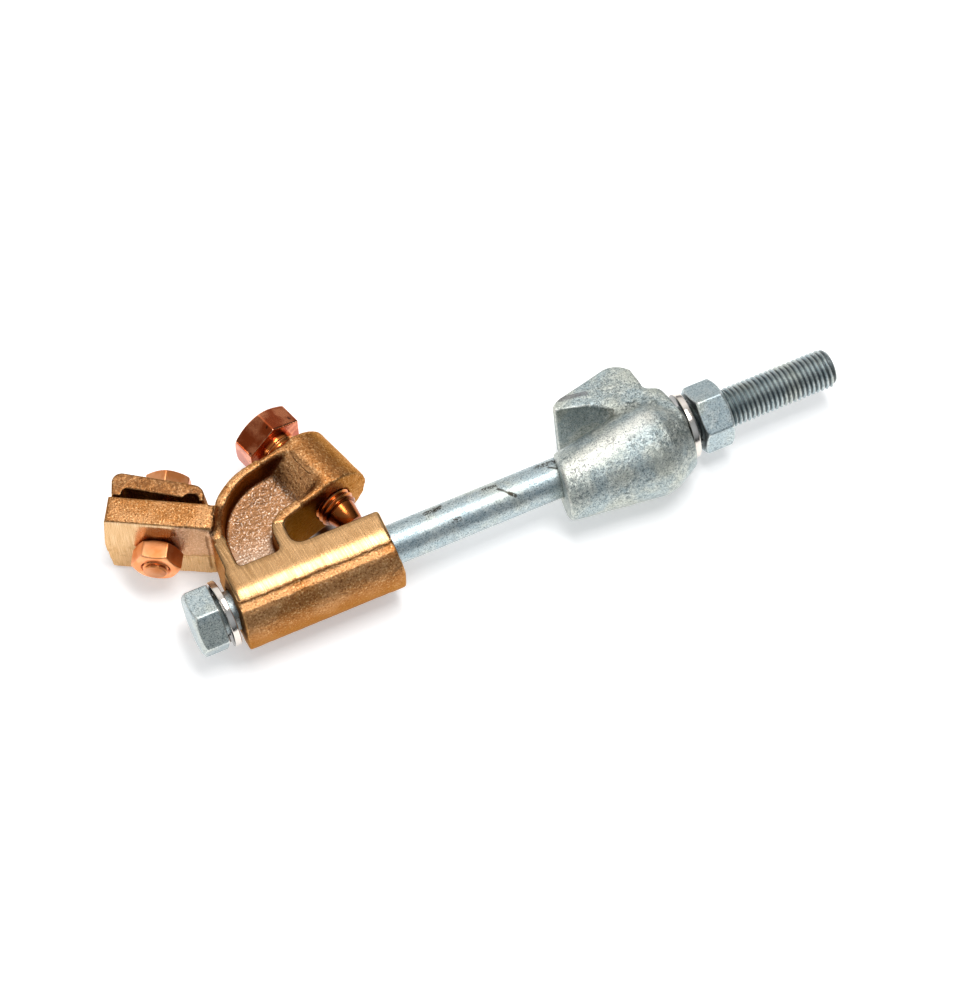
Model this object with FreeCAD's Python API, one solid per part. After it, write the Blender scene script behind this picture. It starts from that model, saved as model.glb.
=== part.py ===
import FreeCAD, Part
import math
import os

# Rail foot earthing clamp, millimetres.
# X runs along the long bolt towards its nut, Y points from the bolt to the jaws, Z is up.
# Sizes are given from the long bolt's axis at the open end of the cast barrel.
# The finished pieces are moved so that the origin is the seat of the rail foot in the slot.
V = FreeCAD.Vector

# Fits and clearances
THREAD_GAP = 0.3
BORE_GAP = 0.55
WASHER_GAP = 0.35
SEAT_GAP = 0.3
HEAD_LOOSE = 1.4
NUT_LOOSE = 1.4

# Clamp casting: round barrel on the bolt, plate of the jaw, slot for the rail foot
BARREL_L = 65.7
REACH = 3 * BARREL_L
BARREL_R = 15.5
BARREL_OFF = 1.3
BARREL_LOW_CORNER = 3.2
BARREL_TOP_CORNER = 2.0
PLATE_H = 15.5
DRAFT = 1.2
TUBE_R = 12.0
STRIP_END = 2.5
BACK_STEP = 2.1
BACK_X = -BARREL_L + BACK_STEP
BACK_R = 30.0
ARM_Y = 42.3
ARM_DEG = 12.0
SLOT_FLOOR = 8.6
SLOT_END = -35.8
SLOT_TOP = 19.6
SLOT_DEG = 15.0
SLOT_R = 4.4

SEAT = V(SLOT_END, (SLOT_FLOOR + SLOT_TOP) / 2 + 0.5, 0)

# Pocket on both sides of the plate, with a thin web between
WEB_H = 4.0
RIM_W = 5.4
ARM_RIM_W = 3.6
SLOT_WALL = 5.5
SLOT_RIM_W = 4.2
POCKET_LOW = 8.7
POCKET_CORNER = 1.6
POCKET_BEND = 9.0

# Contact screw, M16, and the boss it runs in: point under its head, direction in the jaw plane
SCREW_X = -23.3
SCREW_Y = 58.08
SCREW_AT = V(SCREW_X, SCREW_Y, 0)
SCREW_DEG = -72.25
SCREW_LEN = 46.0
SCREW_TURN = 29.7
POINT_LEN = 7.4
POINT_R0 = 6.4
POINT_R1 = 4.1
BOSS_CREST = 0.8
BOSS_R = PLATE_H + BOSS_CREST
BOSS_START = 7.0
BOSS_END = 37.0
BOSS_EDGE = 2.2
CREST_START = 13.4
FLANK_IN = 2.1
FLANK_OUT = 11.0

# Cable terminal: the lug of the casting, cap plate, M10 bolt and nut
LUG_OUT = 17.4
LUG_DOWN = 6.06
LUG_AT = V(BACK_X - LUG_OUT, ARM_Y - LUG_DOWN, 0)
LUG_DEG = -30.0
LUG_H = 18.7
LUG_T = 11.7
LUG_LEFT = 19.5
LUG_RIGHT = 22.4
LUG_DRAFT = 1.4
FACE_DRAFT = 0.5
LUG_ROUND = 1.3
CAP_GAP = 0.3
CAP_H = 18.2
CAP_LEFT = 19.2
CAP_RIGHT = 16.9
CAP_T = 6.4
CAP_RISE = 10.3
CAP_SLOPE = 0.095
CAP_DRAFT = 1.3
CAP_ROUND = 3.8
M10_R = 4.95
M10_THREAD_R = 4.7
M10_AF = 17.0
M10_K = 7.0
M10_NUT_M = 8.0
M10_HOLE_GAP = 0.65
M10_TIP = 10.5
M10_SHANK = 14.0
M10_HEAD_TURN = 32.0
M10_NUT_TURN = 10.0

# Spring washers of the long bolt, cut through at a slant; they hang a little crooked
RING_OUT = 13.45
RING_T = 2.9
RING_SPLIT = 2.2
RING_SPLIT_DEG = 25.0
RING_TURN = 150.0
RING_LEAN = 2.8
RING_SPAN = RING_T + 2 * RING_OUT * math.sin(math.radians(RING_LEAN))

# Long bolt, M16 x 260, plain shank and long thread
M16_R = 7.95
M16_THREAD_R = 7.6
M16_AF = 24.0
HEAD_K = 10.5
HEAD_TURN = 47.5
NUT_M = 13.0
NUT_TURN = 29.6
BOLT_LEN = 260.0
BEARING_X = -BARREL_L - HEAD_LOOSE - RING_SPAN - SEAT_GAP
TIP_X = BEARING_X + BOLT_LEN
THREAD_LEN = 66.0
THREAD_X = TIP_X - THREAD_LEN
HEAD_RING_X = BEARING_X + SEAT_GAP

# Hook jaw, a casting that hangs a little about the bolt
JAW_X = 106.0
HOOK_X0 = SLOT_END + JAW_X
HOOK_L = 52.5
HOOK_X1 = HOOK_X0 + HOOK_L
HOOK_LEAN = 11.0
HOOK_FACE_DEG = 8.5
HOOK_OFF = 4.6
HOOK_R0 = 13.4
HOOK_R1 = 19.3
HOOK_TILT = 2.0
HOOK_END_L = 13.2
HOOK_END_R = 12.8
HOOK_BELLY = 6.0
HOOK_EDGE = 0.8
NOSE_H = 14.0
NOSE_TIP_IN = 9.0
NOSE_TIP_Y = 19.9
NOSE_TIP_H = 2.6
NOSE_BROW_X = 3.4
NOSE_BROW_Y = 5.1
NOSE_TOP_Y = 31.4
NOSE_TOP_R = 8.0
NOSE_BACK_IN = 7.9
NOSE_BACK_X = 6.5
NOSE_BACK_DROP = 5.4
NOSE_ROUND = 3.0
NOSE_EDGE = 0.6
ROOT_Y = 14.6
ROOT_IN = 1.6
ROOT_LOW_Y = 4.5
NOTCH_IN = 22.3
NOTCH_Y = 9.6
NOTCH_R = 5.0
NOTCH_RUN = 9.0
NOTCH_RISE = 7.0
NOTCH_BEND = 14.0
NUT_RING_X = HOOK_X1 + SEAT_GAP
NUT_X = NUT_RING_X + RING_SPAN + NUT_LOOSE


def save(shape, node):
    """Write one node's solid as a STEP file, with the origin at the rail foot's seat."""
    s = shape.copy()
    s.translate(-SEAT)
    s.exportStep("parts/" + node + ".step")


def rod(r, x0, x1):
    """Cylinder about the X axis."""
    return Part.makeCylinder(r, x1 - x0, V(x0, 0, 0), V(1, 0, 0))


def hex_bar(af, x0, x1, turn):
    """Hexagonal bar along X, with one corner at the angle turn about X."""
    rc = af / math.sqrt(3)
    pts = []
    for k in range(7):
        a = math.radians(turn + 60 * k)
        pts.append(V(x0, rc * math.cos(a), rc * math.sin(a)))
    return Part.Face(Part.makePolygon(pts)).extrude(V(x1 - x0, 0, 0))


def crown(af, x_face, way):
    """Large ball that takes the corners off a hexagon at the face x_face; way points out of it."""
    r = 1.25 * af
    back = math.sqrt(r ** 2 - (0.465 * af) ** 2)
    ball = Part.makeSphere(r)
    if way > 0:
        ball.rotate(V(0, 0, 0), V(0, 0, 1), 180)
    ball.translate(V(x_face - way * back, 0, 0))
    return ball


def prism(wire, z0, z1):
    """Closed wire in the XY plane raised between two heights."""
    face = Part.Face(wire)
    face.translate(V(0, 0, z0))
    return face.extrude(V(0, 0, z1 - z0))


def polygon(points):
    """Closed polygon wire in the XY plane."""
    pts = [V(x, y, 0) for x, y in points]
    return Part.makePolygon(pts + pts[:1])


def line(a, b):
    """Straight edge between two points of the XY plane."""
    return Part.LineSegment(a, b).toShape()


def rounded(corners):
    """Closed wire in the XY plane through corners (x, y, radius), each rounded by its radius."""
    pts = [V(x, y, 0) for x, y, r in corners]
    n = len(pts)
    starts = []
    ends = []
    arcs = []
    for i in range(n):
        p = pts[i]
        r = corners[i][2]
        u = (pts[i - 1] - p).normalize()
        w = (pts[(i + 1) % n] - p).normalize()
        half = math.acos(max(-1.0, min(1.0, u.dot(w)))) / 2
        run = r / math.tan(half)
        starts.append(p + u * run)
        ends.append(p + w * run)
        middle = p + (u + w).normalize() * (r / math.sin(half) - r)
        arcs.append(middle)
    edges = []
    for i in range(n):
        if corners[i][2] > 0:
            edges.append(Part.Arc(starts[i], arcs[i], ends[i]).toShape())
        following = starts[(i + 1) % n]
        if (following - ends[i]).Length > 0.001:
            edges.append(line(ends[i], following))
    return Part.Wire(edges)


def lay(shape, at, deg):
    """Turn a shape made along +X to the direction deg in the jaw plane and bring it to the point at."""
    s = shape.copy()
    s.rotate(V(0, 0, 0), V(0, 0, 1), deg)
    s.translate(at)
    return s


def boss_point(s, t):
    """XY point at the distance s along the contact screw and t across it."""
    a = math.radians(SCREW_DEG)
    return (
        SCREW_AT.x + s * math.cos(a) - t * math.sin(a),
        SCREW_AT.y + s * math.sin(a) + t * math.cos(a),
    )


def arm_line(x, inset=0.0):
    """Y of the arm's outer face at x, or of a line inset below it."""
    a = math.radians(ARM_DEG)
    return ARM_Y + (x - BACK_X) * math.tan(a) - inset / math.cos(a)


def slot_line(x, inset=0.0):
    """Y of the slot's upper wall at x, or of a line that far above it."""
    a = math.radians(SLOT_DEG)
    return SLOT_TOP + (x - SLOT_END) * math.tan(a) + inset / math.cos(a)


def side_block(points, y0, y1):
    """Polygon in the XZ plane drawn out along Y."""
    pts = [V(x, y0, z) for x, z in points]
    return Part.Face(Part.makePolygon(pts + pts[:1])).extrude(V(0, y1 - y0, 0))


def barrel_ends():
    """Block that leans the two ends of the barrel in from the parting plane."""
    low = -BARREL_L
    pts = [(low, 0), (low + DRAFT, PLATE_H), (-DRAFT, PLATE_H), (0, 0)]
    pts += [(-DRAFT, -PLATE_H), (low + DRAFT, -PLATE_H)]
    return side_block(pts, -REACH, REACH)


def barrel():
    """Barrel round the bolt: half round below, flat sides up to the slot floor."""
    low = -BARREL_OFF - BARREL_R
    a = V(0, SLOT_FLOOR, -BARREL_R)
    b = V(0, -BARREL_OFF, -BARREL_R)
    c = V(0, low, 0)
    d = V(0, -BARREL_OFF, BARREL_R)
    e = V(0, SLOT_FLOOR, BARREL_R)
    wire = Part.Wire([line(a, b), Part.Arc(b, c, d).toShape(), line(d, e), line(e, a)])
    body = Part.Face(wire).extrude(V(-BARREL_L, 0, 0))
    corners = [
        (-BARREL_L, SLOT_FLOOR, 0),
        (-BARREL_L, low, BARREL_TOP_CORNER),
        (0, low, BARREL_LOW_CORNER),
        (0, SLOT_FLOOR, BARREL_TOP_CORNER),
    ]
    outline = prism(rounded(corners), -BARREL_R, BARREL_R)
    return body.common(outline).common(barrel_ends())


def jaw_plate():
    """The C shaped plate: left side, back, arm and the strip on the barrel."""
    half_flat = math.sqrt(BOSS_R ** 2 - PLATE_H ** 2) - 0.5
    arm_x = boss_point(BOSS_START, half_flat)[0]
    low_x, low_y = boss_point(BOSS_END, half_flat)
    corners = [
        (BACK_X, 0, 0),
        (BACK_X, ARM_Y, BACK_R),
        (arm_x, arm_line(arm_x), 0),
        (low_x, low_y, 0),
        (-STRIP_END, SLOT_FLOOR, 0),
        (-STRIP_END, 0, 0),
    ]
    return prism(rounded(corners), -PLATE_H, PLATE_H)


def slot():
    """Space for the rail foot between the barrel and the arm."""
    far = boss_point(BOSS_END, BOSS_R)[0] + BOSS_R / 2
    corners = [
        (far, SLOT_FLOOR, 0),
        (SLOT_END, SLOT_FLOOR, SLOT_R),
        (SLOT_END, SLOT_TOP, SLOT_R),
        (far, slot_line(far), 0),
    ]
    return prism(rounded(corners), -REACH, REACH)


def boss():
    """Round boss that holds the contact screw, flat like the plate but for its crest."""
    body = rod(BOSS_R, BOSS_START, BOSS_END)
    rims = [e for e in body.Edges if e.Curve.TypeId == "Part::GeomCircle" and e.CenterOfMass.x < BOSS_START + 1]
    body = body.makeChamfer(BOSS_EDGE, rims)
    flat = Part.makeBox(REACH, 2 * REACH, 2 * PLATE_H, V(0, -REACH, -PLATE_H))
    crest = Part.makeBox(REACH, REACH, 2 * REACH, V(CREST_START, -FLANK_IN, -REACH))
    return lay(body.common(flat.fuse(crest)), SCREW_AT, SCREW_DEG)


def boss_flank():
    """Slope of the boss where it runs down into the pocket."""
    pts = [V(0, -FLANK_IN, PLATE_H + 1), V(0, -FLANK_IN, PLATE_H), V(0, -FLANK_OUT, WEB_H)]
    pts += [V(0, -FLANK_OUT, WEB_H - 1), V(0, REACH, WEB_H - 1), V(0, REACH, PLATE_H + 1)]
    face = Part.Face(Part.makePolygon(pts + pts[:1]))
    return lay(face.extrude(V(REACH, 0, 0)), SCREW_AT, SCREW_DEG)


def pocket():
    """Lightening pocket of one side, from the web up through the rim."""
    left = BACK_X + RIM_W
    inner = SLOT_END - SLOT_WALL
    top_x = boss_point(BOSS_START + 4.0, 0)[0]
    low_x = boss_point(BOSS_END - 7.5, 0)[0]
    corners = [
        (left, POCKET_LOW, POCKET_CORNER),
        (left, arm_line(left, ARM_RIM_W), BACK_R - 4.0),
        (top_x, arm_line(top_x, ARM_RIM_W), 0),
        (low_x, slot_line(low_x, SLOT_RIM_W), 0),
        (inner, slot_line(inner, SLOT_RIM_W), POCKET_BEND),
        (inner, POCKET_LOW, POCKET_CORNER),
    ]
    return prism(rounded(corners), WEB_H, PLATE_H + 0.5).cut(boss_flank())


def in_lug(shape):
    """Bring a shape from the lug's own frame, X along the lug and Y to its back, into place."""
    return lay(shape, LUG_AT, LUG_DEG)


def lug():
    """Terminal block of the casting, with draft from its parting plane."""
    low = -LUG_LEFT
    ends = [(low - LUG_DRAFT, 0), (low, LUG_H), (LUG_RIGHT, LUG_H), (LUG_RIGHT, -LUG_H), (low, -LUG_H)]
    body = side_block(ends, -REACH, REACH)
    sides = [(-FACE_DRAFT, 0), (0, LUG_H), (LUG_T, LUG_H), (LUG_T, -LUG_H), (0, -LUG_H)]
    pts = [V(-REACH, y, z) for y, z in sides]
    body = body.common(Part.Face(Part.makePolygon(pts + pts[:1])).extrude(V(2 * REACH, 0, 0)))
    rims = []
    for e in body.Edges:
        c = e.CenterOfMass
        if c.x < LUG_RIGHT - 0.1 and abs(abs(c.z) - LUG_H) < 0.01:
            rims.append(e)
    return in_lug(body.makeFillet(LUG_ROUND, rims))


def along_bolt(shape):
    """Bring a shape made along +X onto the terminal bolt's axis, +X towards its nut."""
    return lay(shape, LUG_AT, LUG_DEG - 90)


def clamp_body():
    """The bronze casting: barrel, jaw plate with pockets, boss and terminal lug in one piece."""
    up = pocket()
    body = jaw_plate().fuse([barrel(), boss()])
    body = body.cut([up, up.mirror(V(0, 0, 0), V(0, 0, 1)), slot()])
    tube = rod(TUBE_R, SLOT_END - SLOT_R, -STRIP_END)
    body = body.fuse([tube, lug()])
    body = body.cut(rod(M16_R + BORE_GAP, -BARREL_L - SLOT_R, SLOT_R))
    body = body.cut(lay(rod(M16_THREAD_R + THREAD_GAP, 0, BOSS_END + SLOT_R), SCREW_AT, SCREW_DEG))
    hole = along_bolt(rod(M10_R + M10_HOLE_GAP, -LUG_T - LUG_ROUND, FACE_DRAFT + LUG_ROUND))
    return body.cut(hole).removeSplitter()


def hex_head_bolt(r_thread, r_shank, af, k, shank_end, length, tip_cut):
    """Hexagon bolt along +X with its bearing face at 0."""
    head = hex_bar(af, -k, 0, 0).common(crown(af, -k, -1))
    neck = rod(0.46 * af, -0.4, 0)
    tip = Part.makeCone(r_thread, r_thread - tip_cut, tip_cut, V(length - tip_cut, 0, 0), V(1, 0, 0))
    parts = [neck, rod(r_thread, 0, length - tip_cut), tip]
    if shank_end > 0:
        parts.append(rod(r_shank, 0, shank_end))
    return head.fuse(parts).removeSplitter()


def hex_nut_solid(af, m, bore, turn):
    """Hexagon nut along +X with both ends chamfered, its first face at 0."""
    body = hex_bar(af, 0, m, turn)
    body = body.common(crown(af, 0, -1)).common(crown(af, m, 1))
    return body.cut(rod(bore, -1, m + 1))


def long_bolt():
    """M16 bolt that ties the two jaws together."""
    body = hex_head_bolt(M16_THREAD_R, M16_R, M16_AF, HEAD_K, THREAD_X - BEARING_X, BOLT_LEN, 1.4)
    body.rotate(V(0, 0, 0), V(1, 0, 0), HEAD_TURN)
    body.translate(V(BEARING_X, 0, 0))
    return body


def contact_screw():
    """M16 screw with a tapered point that presses on the rail foot."""
    length = SCREW_LEN - POINT_LEN
    body = hex_head_bolt(M16_THREAD_R, M16_R, M16_AF, HEAD_K, 0, length, 0.9)
    point = Part.makeCone(POINT_R0, POINT_R1, POINT_LEN, V(length, 0, 0), V(1, 0, 0))
    body = body.fuse(point).removeSplitter()
    body.rotate(V(0, 0, 0), V(1, 0, 0), SCREW_TURN)
    return lay(body, SCREW_AT, SCREW_DEG)


def cap_block(grow):
    """Outer profile of the cap plate in the lug's frame, wider by the draft that it has there."""
    seat = LUG_T + CAP_GAP
    back = seat + CAP_RISE + grow
    corners = [
        (-CAP_LEFT - grow + 0.9, seat, 0),
        (-CAP_LEFT - grow - 0.5, back, CAP_ROUND),
        (CAP_RIGHT + grow - 0.2, back - CAP_SLOPE * (CAP_RIGHT + CAP_LEFT), CAP_ROUND + 0.8),
        (CAP_RIGHT + grow, seat + 0.5, 0),
    ]
    return rounded(corners)


def cap_channel():
    """Cable channel of the cap plate, between its foot and its lip, with the groove inside the lip."""
    seat = LUG_T + CAP_GAP
    front = seat + CAP_RISE - CAP_T
    foot = -CAP_LEFT + 4.3
    lip = CAP_RIGHT - 1.6
    groove = lip - 6.2
    corners = [
        (foot, seat - 1, 0),
        (foot + 0.9, front - 0.6, 1.2),
        (foot + 2.3, front - CAP_SLOPE * 6.6, 1.0),
        (groove, front - CAP_SLOPE * (groove + CAP_LEFT), 1.0),
        (groove + 1.0, seat + 3.0, 1.6),
        (lip - 0.7, seat + 3.2, 1.8),
        (lip + 0.3, seat - 1, 0),
    ]
    return prism(rounded(corners), -REACH, REACH)


def terminal_cap():
    """Bronze plate that presses the cable against the lug, thickest in its parting plane."""
    wires = []
    for z, grow in ((-CAP_H, 0.0), (0.0, CAP_DRAFT), (CAP_H, 0.0)):
        wire = cap_block(grow)
        wire.translate(V(0, 0, z))
        wires.append(wire)
    body = in_lug(Part.makeLoft(wires, True, True).cut(cap_channel()))
    return body.cut(along_bolt(rod(M10_R + M10_HOLE_GAP, -REACH, -LUG_T)))


def cap_seat():
    """Distance of the cap's back, where the bolt head bears, behind the lug's front."""
    back = LUG_T + CAP_GAP + CAP_RISE + CAP_DRAFT
    return back - CAP_SLOPE * (CAP_LEFT - 0.5 * M10_AF)


def terminal_bolt():
    """M10 bolt of the terminal, its head behind the cap."""
    bearing = -cap_seat() - SEAT_GAP
    body = hex_head_bolt(M10_THREAD_R, M10_R, M10_AF, M10_K, M10_SHANK, M10_TIP - bearing, 0.9)
    body.rotate(V(0, 0, 0), V(1, 0, 0), M10_HEAD_TURN)
    body.translate(V(bearing, 0, 0))
    return along_bolt(body)


def terminal_nut():
    """M10 nut on the face of the lug."""
    body = hex_nut_solid(M10_AF, M10_NUT_M, M10_THREAD_R + THREAD_GAP, M10_NUT_TURN)
    body.translate(V(FACE_DRAFT + SEAT_GAP, 0, 0))
    return along_bolt(body)


def spring_ring(x0, lean):
    """Spring washer along X, cut through at a slant so that its two ends stand apart."""
    body = rod(RING_OUT, 0, RING_T).cut(rod(M16_R + WASHER_GAP, -1, RING_T + 1))
    run = RING_T * math.tan(math.radians(RING_SPLIT_DEG))
    pts = [(-1, 0), (RING_T + 1, run), (RING_T + 1, run + RING_SPLIT), (-1, RING_SPLIT)]
    wire = Part.makePolygon([V(x, y, 0) for x, y in pts + pts[:1]])
    body = body.cut(Part.Face(wire).extrude(V(0, 0, 2 * RING_OUT)))
    body.rotate(V(0, 0, 0), V(1, 0, 0), RING_TURN)
    body.rotate(V(RING_T / 2, 0, 0), V(0, 0, 1), lean)
    body.translate(V(x0 + (RING_SPAN - RING_T) / 2, 0, 0))
    return body


def hook_body():
    """Offset round body of the hook, widening away from the rail, its front face aslant."""
    lead = HOOK_L / 8
    wide_x = HOOK_X1 - HOOK_END_L
    grow = (HOOK_R1 - HOOK_R0) / (wide_x - HOOK_X0)
    fall = (HOOK_R1 - HOOK_END_R) / HOOK_END_L
    corners = [
        (HOOK_X0 - lead, 0),
        (HOOK_X0 - lead, HOOK_R0 - grow * lead),
        (wide_x - HOOK_BELLY / 2, HOOK_R1 - grow * HOOK_BELLY / 2),
        (wide_x + HOOK_BELLY / 2, HOOK_R1 - fall * HOOK_BELLY / 2),
        (HOOK_X1 + lead / 2, HOOK_END_R - fall * lead / 2),
        (HOOK_X1 + lead / 2, 0),
    ]
    body = Part.Face(polygon(corners)).revolve(V(0, 0, 0), V(1, 0, 0), 360)
    body.rotate(V(wide_x, 0, 0), V(0, 0, 1), HOOK_TILT)
    body.translate(V(0, -HOOK_OFF, 0))
    slant = REACH * math.tan(math.radians(HOOK_FACE_DEG))
    ends = polygon([(HOOK_X0 - slant, -REACH), (HOOK_X1, -REACH), (HOOK_X1, REACH), (HOOK_X0 + slant, REACH)])
    body = body.common(prism(ends, -REACH, REACH))
    rims = [e for e in body.Edges if not e.isClosed() or abs(e.CenterOfMass.x - wide_x) > HOOK_END_L - 1]
    rims = [e for e in rims if e.Length > HOOK_R0 * 3]
    return body, rims


def hook_nose():
    """Nose of the hook and its root behind the notch."""
    tip = HOOK_X0 + NOSE_TIP_IN
    back = HOOK_X1 - NOSE_BACK_IN
    notch = HOOK_X1 - NOTCH_IN
    corners = [
        (tip, NOSE_TIP_Y, 0),
        (tip, NOSE_TIP_Y + NOSE_TIP_H, HOOK_EDGE),
        (tip + NOSE_BROW_X, NOSE_TIP_Y + NOSE_BROW_Y, NOSE_ROUND),
        (back - NOSE_BACK_X, NOSE_TOP_Y, NOSE_TOP_R),
        (back - 0.2, NOSE_TOP_Y - NOSE_BACK_DROP, NOSE_ROUND),
        (back + 0.6, ROOT_Y, NOSE_ROUND),
        (HOOK_X1 - ROOT_IN, HOOK_END_R, NOSE_ROUND),
        (HOOK_X1, ROOT_LOW_Y, 0),
        (HOOK_X1, -HOOK_BELLY, 0),
        (notch, -HOOK_BELLY, 0),
        (notch, NOTCH_Y, NOTCH_R),
        (notch - NOTCH_RUN, NOTCH_Y + NOTCH_RISE, NOTCH_BEND),
    ]
    body = prism(rounded(corners), -NOSE_H, NOSE_H)
    rims = []
    for e in body.Edges:
        b = e.BoundBox
        if b.ZLength < 0.01 and b.YMin > 4 and b.YMax > 8 and e.Length > 0.1:
            rims.append(e)
    return body.makeChamfer(NOSE_EDGE, rims)


def hook_jaw():
    """Galvanised hook casting that holds the far edge of the rail foot."""
    round_body, rims = hook_body()
    body = round_body.makeChamfer(HOOK_EDGE, rims).fuse(hook_nose())
    body = body.cut(rod(M16_R + BORE_GAP, HOOK_X0 - HOOK_L, HOOK_X1 + HOOK_L)).removeSplitter()
    body.rotate(V(0, 0, 0), V(1, 0, 0), -HOOK_LEAN)
    return body


def main():
    os.makedirs("parts", exist_ok=True)
    save(clamp_body(), "clamp_body")
    save(contact_screw(), "contact_screw")
    save(terminal_cap(), "terminal_cap")
    save(terminal_bolt(), "terminal_bolt")
    save(terminal_nut(), "terminal_nut")
    save(long_bolt(), "long_bolt")
    save(spring_ring(HEAD_RING_X, RING_LEAN), "head_washer")
    save(hook_jaw(), "hook_jaw")
    save(spring_ring(NUT_RING_X, -RING_LEAN), "nut_washer")
    nut = hex_nut_solid(M16_AF, NUT_M, M16_THREAD_R + THREAD_GAP, NUT_TURN)
    nut.translate(V(NUT_X, 0, 0))
    save(nut, "hex_nut")


main()
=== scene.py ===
import math

import bmesh
import bpy
from mathutils import Matrix, Vector, noise


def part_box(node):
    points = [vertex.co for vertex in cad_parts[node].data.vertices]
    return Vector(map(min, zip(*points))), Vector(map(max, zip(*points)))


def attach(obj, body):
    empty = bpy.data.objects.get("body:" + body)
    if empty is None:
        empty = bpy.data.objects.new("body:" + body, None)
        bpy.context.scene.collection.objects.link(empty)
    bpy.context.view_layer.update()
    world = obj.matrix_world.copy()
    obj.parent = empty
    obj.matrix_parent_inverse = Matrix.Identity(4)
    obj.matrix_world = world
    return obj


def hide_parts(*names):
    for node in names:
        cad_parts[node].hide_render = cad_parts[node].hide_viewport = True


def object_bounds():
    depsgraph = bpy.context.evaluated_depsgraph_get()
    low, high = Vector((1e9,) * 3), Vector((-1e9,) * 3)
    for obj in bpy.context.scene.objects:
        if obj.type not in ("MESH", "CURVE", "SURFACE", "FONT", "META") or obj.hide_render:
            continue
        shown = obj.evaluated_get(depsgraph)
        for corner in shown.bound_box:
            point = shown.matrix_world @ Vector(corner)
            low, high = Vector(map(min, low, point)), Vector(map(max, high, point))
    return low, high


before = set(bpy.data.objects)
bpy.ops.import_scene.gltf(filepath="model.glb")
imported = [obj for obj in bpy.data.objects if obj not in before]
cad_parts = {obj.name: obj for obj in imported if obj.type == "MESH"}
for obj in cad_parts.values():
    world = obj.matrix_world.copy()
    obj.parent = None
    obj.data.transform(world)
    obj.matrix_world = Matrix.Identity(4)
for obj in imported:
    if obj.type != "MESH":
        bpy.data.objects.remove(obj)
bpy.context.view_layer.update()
MM = 0.001

# Places in millimetres, in the frame of the part: X along the long bolt, Y to the jaws, Z up
BOLT_Y = -14.6
BEARING_X = -35.81
THREAD_X = 158.19
TIP_X = 224.19
SCREW_AT = Vector((12.5, 43.48, 0.0))
SCREW_DEG = -72.25
LUG_AT = Vector((-45.2, 21.64, 0.0))
LUG_DEG = -30.0
HOOK_LEAN = 11.0
HOOK_END_X = 158.5
HOOK_DRILL_R = 8.35
# centre of the painted shadow on the floor under the rail slot
UNDER_SLOT = (18.0, 11.9, -17.4)

# Threads: radius at the root, radius at the crest, pitch
M16_THREAD = (6.8, 7.95, 2.0)
M10_THREAD = (4.1, 4.95, 1.5)

# The terminal along its bolt, as the solids have it: lug, gap and cap, whose back slopes
LUG_T = 11.7
CAP_GAP = 0.3
CAP_RISE = 10.3
CAP_DRAFT = 1.3
CAP_SLOPE = 0.095
CAP_LEFT = 19.2
M10_HALF_WIDTH = 8.5
HEAD_GAP = 0.3
CAP_BACK = LUG_T + CAP_GAP + CAP_RISE + CAP_DRAFT - CAP_SLOPE * (CAP_LEFT - M10_HALF_WIDTH)
TERMINAL_BEARING = -CAP_BACK - HEAD_GAP

# Net sizes of the remeshed pieces
BODY_NET = 0.6
CAP_NET = 0.42
HOOK_NET = 0.55
M16_NET = 0.38
SCREW_NET = 0.36
M10_BOLT_NET = 0.26
M10_NUT_NET = 0.24


# ---------------------------------------------------------------- materials

class Value:
    """A socket that takes part in Python expressions; each operation adds its Math node."""

    def __init__(self, finish, socket):
        self.finish = finish
        self.socket = socket

    def math(self, operation, a, b=None):
        inputs = {0: a} if b is None else {0: a, 1: b}
        return self.finish.add("ShaderNodeMath", {"operation": operation}, inputs)

    def __add__(self, other):
        return self.math("ADD", self, other)

    def __radd__(self, other):
        return self.math("ADD", other, self)

    def __sub__(self, other):
        return self.math("SUBTRACT", self, other)

    def __rsub__(self, other):
        return self.math("SUBTRACT", other, self)

    def __mul__(self, other):
        return self.math("MULTIPLY", self, other)

    def __rmul__(self, other):
        return self.math("MULTIPLY", other, self)

    def __pow__(self, other):
        return self.math("POWER", self, other)

    def __abs__(self):
        return self.math("ABSOLUTE", self)

    def least(self, other):
        return self.math("MINIMUM", self, other)

    def most(self, other):
        return self.math("MAXIMUM", self, other)

    def above(self, low, high):
        """0 under low, 1 over high, smooth between."""
        return self.finish.add(
            "ShaderNodeMapRange",
            {"interpolation_type": "SMOOTHSTEP"},
            {"Value": self, "From Min": low, "From Max": high},
        )

    def below(self, low, high):
        """1 under low, 0 over high, smooth between."""
        return self.finish.add(
            "ShaderNodeMapRange",
            {"interpolation_type": "SMOOTHSTEP"},
            {"Value": self, "From Min": low, "From Max": high, "To Min": 1.0, "To Max": 0.0},
        )

    def within(self, low, high, soft):
        """1 between low and high, 0 outside, with soft borders."""
        return self.above(low - soft, low + soft) * self.below(high - soft, high + soft)


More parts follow.
